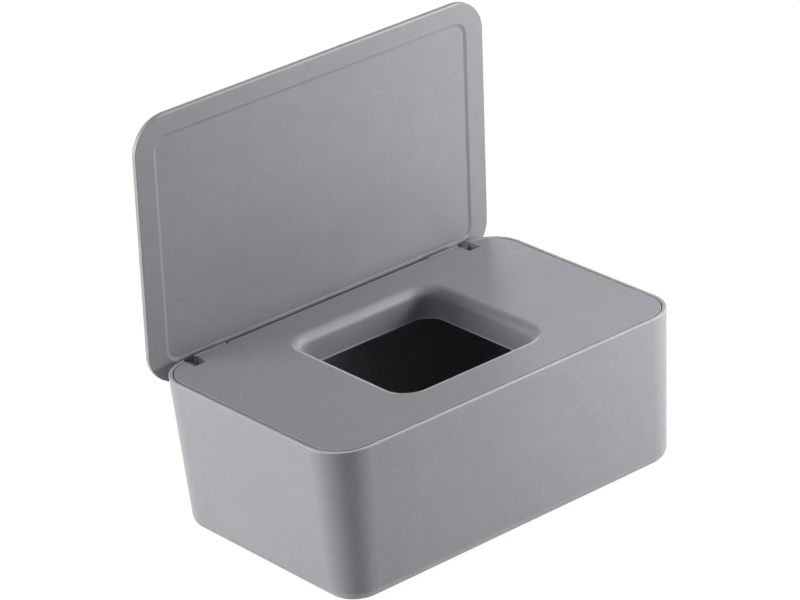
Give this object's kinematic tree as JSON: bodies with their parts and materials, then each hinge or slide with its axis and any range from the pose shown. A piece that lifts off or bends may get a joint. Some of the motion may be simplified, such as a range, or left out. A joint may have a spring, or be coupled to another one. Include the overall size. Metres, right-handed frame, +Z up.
{
  "type": "wipes dispenser",
  "caption": "Free-standing box for wet wipes with sides leaning in to the base, a drop-in cover with a square well to draw the wipes through, and a flat lid hinged at the back.",
  "frame": {"origin": "on the surface that the dispenser stands on, under the middle of the tub's rim", "axes": "+X along the tub's long side, to the right as seen from the front; +Y to the back, where the hinge is; +Z up"},
  "size_m": [0.188, 0.1279, 0.1833],
  "materials": {
    "grey_plastic": "satin",
    "rubber": "matte"
  },
  "bodies": {
    "tub": {"tub": "grey_plastic", "foot_front_left": "rubber", "foot_front_right": "rubber", "foot_rear_left": "rubber", "foot_rear_right": "rubber"},
    "cover": {"cover": "grey_plastic"},
    "lid": {"lid": "grey_plastic"}
  },
  "joints": [
    {"name": "cover_lift", "type": "slide", "parent": "tub", "child": "cover", "axis": [0, 0, 1], "range_m": [0, 0.03]},
    {"name": "lid_hinge", "type": "hinge", "parent": "cover", "child": "lid", "pos_m": [0, 0.057, 0.0643], "axis": [1, 0, 0], "range_deg": [0, 85.8]}
  ]
}
